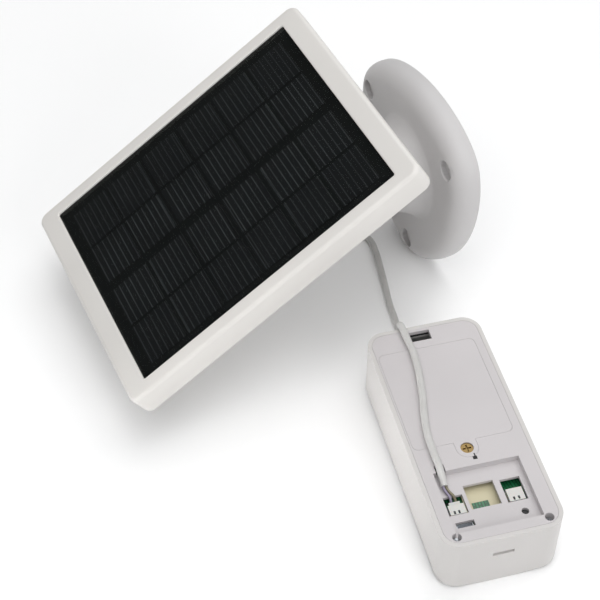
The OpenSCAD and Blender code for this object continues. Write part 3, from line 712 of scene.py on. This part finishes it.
def dress(node, finish_name, soften=0.0):
    """Gives a carried-over CAD node its finish, and softens its edges."""
    obj = frame["nodes"][node]
    obj.data.materials.clear()
    obj.data.materials.append(finish(finish_name))
    for face in obj.data.polygons:
        face.material_index = 0
    if soften:
        flat = obj.modifiers.new("flat faces", "DECIMATE")
        flat.decimate_type = "DISSOLVE"
        flat.angle_limit = math.radians(1.0)
        soften_edges(obj, soften, 2)


# ---- Operators: one for each group of pieces ----


class Builder:
    """What the operators share."""

    bl_options = {"REGISTER", "UNDO"}

    def execute(self, context):
        self.build()
        return {"FINISHED"}


def plate(bracket, z, inset):
    """The base plate's outline at a height: a circle with three soft lobes, moved in by an inset."""
    points = []
    n = 144
    for k in range(n):
        a = math.tau * k / n
        lobe = 3 * (a - math.radians(30) - bracket.turn)
        h = bracket.radius - inset + bracket.lobe * math.cos(lobe)
        dh = -3 * bracket.lobe * math.sin(lobe)
        points.append((h * math.cos(a) - dh * math.sin(a), h * math.sin(a) + dh * math.cos(a), z))
    return points


class KIT_OT_wall_base(Builder, bpy.types.Operator):
    """Wall base: a soft three-sided plate with a dished face, three recessed screw holes and a hub"""

    bl_idname = "kit.wall_base"
    bl_label = "Wall base"

    def build(self):
        b = sizes("kit_bracket")
        skin = [plate(b, 0, 0.8), plate(b, 0.5, 0.25), plate(b, 1.2, 0.05), plate(b, 4, 0)]
        for a in range(10, 91, 10):
            rise = math.sin(math.radians(a))
            skin.append(plate(b, 4 + (b.depth - 4) * rise, 9 * (1 - math.cos(math.radians(a)))))
        rim = plate(b, 0, 12)
        hub = level(disc(27, (0, 0), len(rim)), 0)
        for drop, t in ((0.05, 0), (0.3, 0.2), (0.6, 0.5), (0.8, 1)):
            mixed = [Vector(outer).lerp(inner, t) for outer, inner in zip(rim, hub)]
            skin.append([(p.x, p.y, b.depth - drop) for p in mixed])
        body = loft(skin)
        hollow = loft([plate(b, -1, 3.2), plate(b, 4, 3.2), plate(b, 8, 6.5), plate(b, 10, 12.5)])
        body = combined(body, hollow)
        foot = ((16, 6), (30.5, 11.6), (27.6, 12.6), (25.6, 14.4))
        neck = (*foot, (24.2, 16.8), (22.7, 19.6), (20.9, 23.4), (20.3, 24))
        body = combined(body, turned(neck, n=96), "UNION")
        for k in range(3):
            a = math.radians(30 + 120 * k) + b.turn
            at = (b.screw_circle / 2 * math.cos(a), b.screw_circle / 2 * math.sin(a))
            body = combined(body, turned(((7, 0.2), (7, 11.9)), at=at, n=48), "UNION")
            hole = ((b.screw_hole / 2, -1), (b.screw_hole / 2, 9.4), (5.0, 9.6), (5.0, 12.2), (5.9, 13.4))
            body = combined(body, turned(hole, at=at, n=48))
        bore = ((8.2, -1), (8.2, 40))
        body = combined(body, turned(bore, n=64))
        piece("Wall base shell", body, wall_place(), "etched_asa", "base", ["wall_base"], 0.35)


class KIT_OT_turret_and_arm(Builder, bpy.types.Operator):
    """Turret and arm: the parts that swivel, and the clip that holds the lead"""

    bl_idname = "kit.turret_and_arm"
    bl_label = "Turret and arm"

    def build(self):
        dress("turret", "etched_asa", 0.7)
        dress("arm", "etched_asa", 0.7)
        dress("cable_clip", "etched_asa", 0.35)
        for node in ("pivot_screw", "pivot_washer", "wave_washer"):
            dress(node, "zinc_steel")


class KIT_OT_panel_frame(Builder, bpy.types.Operator):
    """Panel frame: one moulding swept round a rounded rectangle, with a lip over the glass"""

    bl_idname = "kit.panel_frame"
    bl_label = "Panel frame"

    def build(self):
        p = sizes("kit_panel")
        face_w, face_l = p.width - 2 * p.side, p.length_ - 2 * p.end
        pane_w, pane_l = p.width - 2 * p.wall - 0.9, p.length_ - 2 * p.wall - 0.9
        soft = 2.2

        def ring(width, length_, corner, z):
            return level(rounded(width, length_, corner), z)

        rings = [ring(p.width - 1.2, p.length_ - 1.2, p.corner - 0.6, -p.depth)]
        rings.append(ring(p.width - 0.3, p.length_ - 0.3, p.corner - 0.15, 0.35 - p.depth))
        rings.append(ring(p.width, p.length_, p.corner, 1 - p.depth))
        for a in range(0, 91, 15):
            away = soft * (1 - math.cos(math.radians(a)))
            z = soft * (math.sin(math.radians(a)) - 1)
            rings.append(ring(p.width - 2 * away, p.length_ - 2 * away, p.corner - away * 0.6, z))
        rings += [ring(face_w + 0.8, face_l + 0.8, 1.3, 0), ring(face_w, face_l, 1, -0.4)]
        rings.append(ring(face_w, face_l, 1, -1.2))
        rings += [ring(pane_w, pane_l, 3, -1.2), ring(pane_w, pane_l, 3, -p.depth)]
        piece("Frame moulding", loft(rings, wrap=True), panel_place(), "satin_abs", "panel", ["panel_frame"])
        dress("panel_back", "satin_abs", 0.4)
        dress("panel_gasket", "epdm")
        for node in ("panel_screws", "bracket_screws"):
            dress(node, "zinc_steel")


class KIT_OT_solar_cells(Builder, bpy.types.Operator):
    """Solar cells: six by four cells under a pane of glass, with their ribbons and backing"""

    bl_idname = "kit.solar_cells"
    bl_label = "Solar cells"

    def build(self):
        p = sizes("kit_panel")
        face_w, face_l = p.width - 2 * p.side, p.length_ - 2 * p.end
        gap, middle_gap, margin = 2, 6, 6
        cell_low, cell_top = -3.1, -2.86
        bar_top, tab_low = -2.83, -3.3
        across = (face_w - 2 * margin - 2 * gap - middle_gap) / 4
        along = (face_l - 2 * margin - (p.cells_long - 1) * gap) / p.cells_long
        place = panel_place()
        cells, bars, tabs = [], [], []
        for k in range(4):
            x = -face_w / 2 + margin + k * (across + gap) + (middle_gap - gap if k > 1 else 0)
            for i in range(p.cells_long):
                y = -face_l / 2 + margin + i * (along + gap)
                cell = prism(box_outline((x, x + across), (y, y + along)), cell_low, cell_top)
                tone = cell.faces.layers.float.new("cell_tone")
                for face in cell.faces:
                    face[tone] = (0.62 if k in (0, 3) else 1.0) * (0.9 + 0.1 * math.sin(5 * i + 3 * k))
                cells.append(cell)
                edge = y + along - 0.9 if k < 2 else y + 0.9
                bar = box_outline((x + 0.3, x + across - 0.3), (edge - 0.2, edge + 0.2))
                bars.append(prism(bar, cell_top - 0.02, bar_top))
            tab = x + across / 2
            strip = box_outline((tab - 0.3, tab + 0.3), (-face_l / 2 + margin, face_l / 2 - margin))
            tabs.append(prism(strip, tab_low, cell_low - 0.02))
        piece("Cell wafers", merged(*cells), place, "silicon_cell", "panel", ["solar_cells"])
        piece("Cell bars", merged(*bars), place, "tinned_copper", "panel")
        piece("Lacquered ribbons", merged(*tabs), place, "black_laminate", "panel", ["cell_ribbons"])
        pane = prism(rounded(p.width - 2 * p.wall - 1, p.length_ - 2 * p.wall - 1, 3), -2.75, -1.25)
        piece("Front glass", pane, place, "solar_glass", "panel", ["panel_glass"], 0.1, 1)
        dress("backing_board", "black_laminate")
        dress("junction_box", "black_nylon")


class KIT_OT_panel_hinge(Builder, bpy.types.Operator):
    """Panel hinge: the forked bracket, its bolt, nut and washers, and the lead's gland"""

    bl_idname = "kit.panel_hinge"
    bl_label = "Panel hinge"

    def build(self):
        dress("tilt_bracket", "etched_asa", 0.6)
        dress("tilt_bolt", "zinc_steel", 0.2)
        dress("tilt_nut", "zinc_steel", 0.2)
        dress("friction_washers", "black_nylon")
        dress("cable_gland", "black_nylon", 0.25)


class KIT_OT_camera(Builder, bpy.types.Operator):
    """Camera: its crowned shell, back cover, battery door and all that can be seen of its inside"""

    bl_idname = "kit.camera"
    bl_label = "Camera"

    def build(self):
        dress("front_shell", "satin_pc_abs", 0.8)
        dress("rear_cover", "spark_abs", 0.25)
        dress("battery_door", "spark_abs", 0.35)
        dress("lock_screw", "turned_brass", 0.12)
        dress("lock_cam", "turned_brass")
        for node in ("housing_seal", "door_seal"):
            dress(node, "epdm")
        for node in ("housing_screws", "microphone", "motion_sensor"):
            dress(node, "zinc_steel")
        for node in ("main_board", "sensor_board", "socket_board"):
            dress(node, "solder_mask")
        for node in ("board_chips", "call_switch", "loudspeaker", "lens_barrel", "reset_button"):
            dress(node, "black_nylon", 0.1)
        dress("battery_pack", "shrink_wrap", 0.6)
        dress("battery_contacts", "turned_brass")
        dress("call_button", "satin_pc_abs", 0.4)
        dress("button_ring", "frosted_pc", 0.15)
        dress("front_window", "black_acrylic", 0.4)
        dress("lens_glass", "coated_lens")
        dress("infrared_leds", "frosted_pc")
        dress("motion_lens", "frosted_pc")
        dress("left_socket", "natural_nylon", 0.12)
        dress("right_socket", "natural_nylon", 0.12)
        dress("insulator", "ivory_sheet", 0.1)
        dress("usb_socket", "zinc_steel", 0.08)
        self.small_parts()

    def small_parts(self):
        """The connectors' contacts and pads, painted shade in their slots, the bare window over the board,
        and the lock mark.
        """
        pins = []
        for x, y, run in ((39.4, -16.5, 4.4), (39.4, -14.5, 4.4), (37.4, 11.3, 5.8), (37.4, 13.3, 5.8)):
            pins.append(prism(box_outline((x, x + run), (y - 0.25, y + 0.25)), -6.6, -6.1))
        for x in (34.8, 44.6):
            for y in (-17.6, -13.4, 9.6, 14.6):
                pins.append(prism(box_outline((x - 0.6, x + 0.6), (y - 0.9, y + 0.9)), -8.62, -8.5))
        slits = []
        # Painted shade: thin black plates stand in for the shade inside the headers' slots
        for x, y in ((42.3, -17.1), (42.3, -15.0), (41.5, 10.9), (41.5, 13.2)):
            slits.append(prism(box_outline((x, x + 1.7), (y - 0.45, y + 0.45)), -3.56, -3.46))
        piece("Header slots", merged(*slits), camera_place(), "black_nylon", "base")
        pad = prism(box_outline((37.6, 44.6), (-7.2, 0.6)), -7.82, -7.72)
        piece("Bare board window", pad, camera_place(), "solder_mask", "base", soften=0.04, segments=1)
        mark = merged(
            prism(box_outline((18.3, 20.1), (-0.8, 1.2)), -0.02, 0.03),
            prism(box_outline((16.7, 18.4), (0.2, 0.8)), -0.02, 0.03),
        )
        piece("Lock mark", mark, camera_place(), "pad_ink", "base")
        place = camera_place()
        piece("Header contacts", merged(*pins), place, "tinned_copper", "base", soften=0.05, segments=1)


# The lead's route as it hangs from the clip and as it crosses the floor to the camera
DROP = (
    (-13.2, -66, -7), (-13.2, -66, -16), (-13.2, -66, -26), (-13.5, -65.7, -34.5),
    (-15.6, -63.2, -41), (-19.4, -58.7, -44.8), (-23, -54.4, -45.7),
)
RUN = (
    (-21.8, -58, -56.2), (-21.8, -48, -56.2), (-20.6, -37, -56.2), (-16.4, -29.6, -56.2),
    (-8.9, -26.4, -56.2), (0.1, -27.6, -56.2), (9.7, -30.2, -56.2), (22.4, -34, -56.2),
    (36.2, -38.3, -56.2), (47, -40.8, -56.2),
    (56, -43.4, -56.2), (64, -47, -55.6), (70.2, -50.2, -51.6), (73.8, -52.4, -44.6), (75.2, -53.8, -36),
    (75.7, -54.6, -28.4), (77.6, -55.4, -23.1), (83.5, -56.3, -22.7), (89.1, -57, -23.1), (96, -58.1, -23.1),
    (106, -61, -23.1), (114, -64, -23.1), (122, -67.2, -23.1), (132, -71.8, -23.1), (141, -75.2, -23.1),
    (151, -77.6, -23.1), (158, -78.9, -23.2), (164, -80, -25.6), (168, -81, -26.6),
)
ARM = (
    (-30, -88.8, 16.7), (-30, -87.2, 14.2), (-29.9, -85.2, 11.1), (-28.2, -81.8, 8.6), (-24.6, -77.6, 8),
    (-20.2, -72.8, 8.4), (-16.2, -68.8, 8.3), (-13.8, -66.5, 6.6), (-13.2, -66, 3.6), (-13.2, -66, 0.6),
    (-13.2, -66, -3), (-13.2, -66, -7),
)
COIL_AT = (-50, -66)
WIRE_R = 0.62


def coiled(lead):
    """The stored turns, wound in and out through the coil's layers from the top one to the floor."""
    pitch = lead.diameter
    radii = [lead.coil + pitch * (k - (lead.columns - 1) / 2) for k in reversed(range(lead.columns))]
    lowest = FLOOR_Z / MM + lead.diameter / 2
    stops = []
    for row in range(lead.rows):
        z = lowest + pitch * (lead.rows - 1 - row)
        stops += [(r, z) for r in (radii if row % 2 == 0 else radii[::-1])]
    points = []
    per_turn = 48
    enters_at = 38
    first = math.radians(enters_at)
    for k in range(int(per_turn * (len(stops) - enters_at / 360)) + 1):
        turn, part = divmod(k / per_turn, 1)
        here = stops[int(turn)]
        ahead = stops[min(int(turn) + 1, len(stops) - 1)]
        t = min(max((part - 0.8) / 0.2, 0), 1)
        t = t * t * (3 - 2 * t)
        r, z = (a + (b - a) * t for a, b in zip(here, ahead))
        a = first + math.tau * k / per_turn
        points.append(Vector((COIL_AT[0] + r * math.cos(a), COIL_AT[1] + r * math.sin(a), z)))
    return points


class KIT_OT_lead(Builder, bpy.types.Operator):
    """Lead: from the panel through the clip, down to its stored coil, and over the floor to the plug"""

    bl_idname = "kit.lead"
    bl_label = "Lead"

    def build(self):
        lead = sizes("kit_lead")
        r = lead.diameter / 2
        upper = free_piece("Upper lead", tube(spline(ARM, 6), r), "extruded_pvc", ["arm_lead"])
        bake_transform(upper)

        drop = spline(DROP, 8)
        turns = coiled(lead)
        run = spline(RUN, 6)
        path = drop + turns[1:] + run[1:]
        whole = free_piece("Lead", tube(path, r), "extruded_pvc", ["lead_drop", "lead_run", "lead_coil"])
        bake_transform(whole)

        plug = self.plug()
        wires = self.wires()
        dress("coil_tie", "black_nylon", 0.3)

    def plug(self):
        """A two-pin housing: its body and two windows over the crimped contacts."""
        body = prism(box_outline((37, 43), (-18.1, -12.9)), -7.3, -4.4)
        for y in (-16.5, -14.5):
            body = combined(body, prism(box_outline((38.4, 41.2), (y - 0.45, y + 0.45)), -5.0, -4))
        plug = piece("Plug housing", body, camera_place(), "natural_nylon", "base", ["lead_plug"], 0.12, 2)
        # Painted shade: thin black plates on the floors of the two windows stand in for the shade inside them
        marks = [prism(box_outline((38.5, 41.1), (y - 0.4, y + 0.4)), -5.1, -4.85) for y in (-16.5, -14.5)]
        piece("Crimped contacts", merged(*marks), camera_place(), "black_nylon", "base")
        return plug

    def wires(self):
        made = []
        cores = (("Violet wire", "violet_core"), ("Olive wire", "olive_core"))
        for k, (name, finish_name) in enumerate(cores):
            route = (
                (29.8, -18.35 + k * 1.3, -1.6), (31.6, -18.1 + k * 1.3, -2.0), (33.2, -17.6 + k * 1.5, -2.3),
                (34.7, -17 + k * 1.8, -2.75), (35.9, -16.6 + k * 2, -4.4), (36.7, -16.5 + k * 2, -5.3),
            )
            wire = tube(spline(route, 6), WIRE_R)
            made.append(piece(name, wire, camera_place(), finish_name, "base", ["lead_wires"]))
        return made


class KIT_OT_stage(Builder, bpy.types.Operator):
    """Stage: the floor, the camera, the lights and the surroundings"""

    bl_idname = "kit.stage"
    bl_label = "Stage"

    def build(self):
        scene = bpy.context.scene
        floor = prism(rounded(9000, 9000, 400, steps=6), 0, -20)
        piece("Floor", floor, Matrix.Translation((0, 0, FLOOR_Z)), "painted_board", None)
        data = bpy.data.cameras.new("Camera")
        data.lens = 90.2
        data.sensor_width = 36
        data.clip_start = 0.01
        camera = bpy.data.objects.new("Camera", data)
        scene.collection.objects.link(camera)
        camera.location = (0.4935, -0.306, 0.5234)
        camera.rotation_euler = (math.radians(42.44), 0, math.radians(64.7))
        scene.camera = camera
        self.surroundings(scene)
        self.light("Key", (0.45, -0.5, 1.5), (0.05, -0.06, 0), 1.4, 10)
        self.light("Side", (1.5, 0.25, 0.7), (0.05, -0.03, 0), 1.0, 7)
        self.light("Overhead", (-0.5, 0.5, 1.9), (-0.1, 0.1, 0), 2.2, 18)
        self.light("Fill", (0.13, -0.42, -0.03), (0.13, -0.1, -0.04), 0.1, 0.03, 32)
        scene.view_settings.view_transform = "Standard"
        scene.view_settings.look = "None"

    def surroundings(self, scene):
        world = bpy.data.worlds.new("Studio")
        scene.world = world
        world.use_nodes = True
        tree = world.node_tree
        background = next(n for n in tree.nodes if n.type == "BACKGROUND")
        # A dark flag stands where the glass would otherwise mirror the white studio
        where = add(tree, "ShaderNodeTexCoord").outputs["Generated"]
        towards = Vector((-0.61, -0.53, 0.588)).normalized()
        facing = add(tree, "ShaderNodeVectorMath", {0: where, 1: towards}, operation="DOT_PRODUCT")
        tone = ramp(tree, facing.outputs["Value"], linear("#fdfeff"), grey(0.08), 0.72, 0.9)
        tree.links.new(tone, background.inputs["Color"])
        background.inputs["Strength"].default_value = 0.48

    def light(self, name, at, towards, size, power, spread=180):
        data = bpy.data.lights.new(name, "AREA")
        data.shape = "DISK"
        data.size = size
        data.energy = power
        data.spread = math.radians(spread)
        obj = bpy.data.objects.new(name, data)
        bpy.context.scene.collection.objects.link(obj)
        obj.location = at
        obj.rotation_euler = (Vector(towards) - Vector(at)).to_track_quat("-Z", "Y").to_euler()


class KIT_PT_panel(bpy.types.Panel):
    """Solar camera kit: its sizes, its colours and the operators that build it"""

    bl_label = "Solar Camera Kit"
    bl_idname = "KIT_PT_panel"
    bl_space_type = "VIEW_3D"
    bl_region_type = "UI"
    bl_category = "Solar Camera"

    def draw(self, context):
        for group in GROUPS:
            values = getattr(context.scene, group)
            box = self.layout.box()
            box.label(text=group.removeprefix("kit_").title())
            for key in type(values).__annotations__:
                box.prop(values, key)
        for operator in OPERATORS:
            self.layout.operator(operator.bl_idname)


GROUPS = {
    "kit_panel": PanelSizes,
    "kit_bracket": BracketSizes,
    "kit_camera": CameraSizes,
    "kit_lead": LeadSizes,
    "kit_colours": Colours,
}
OPERATORS = (
    KIT_OT_stage,
    KIT_OT_lead,
    KIT_OT_panel_frame,
    KIT_OT_solar_cells,
    KIT_OT_panel_hinge,
    KIT_OT_turret_and_arm,
    KIT_OT_wall_base,
    KIT_OT_camera,
)


def register():
    for cls in (*GROUPS.values(), *OPERATORS, KIT_PT_panel):
        bpy.utils.register_class(cls)
    for name, cls in GROUPS.items():
        setattr(bpy.types.Scene, name, PointerProperty(type=cls))


def unregister():
    for name in GROUPS:
        delattr(bpy.types.Scene, name)
    for cls in reversed((*GROUPS.values(), *OPERATORS, KIT_PT_panel)):
        bpy.utils.unregister_class(cls)


def main():
    register()
    for operator in OPERATORS:
        group, name = operator.bl_idname.split(".")
        getattr(getattr(bpy.ops, group), name)()
    dress("wall_gasket", "epdm")


if __name__ == "__main__":
    main()
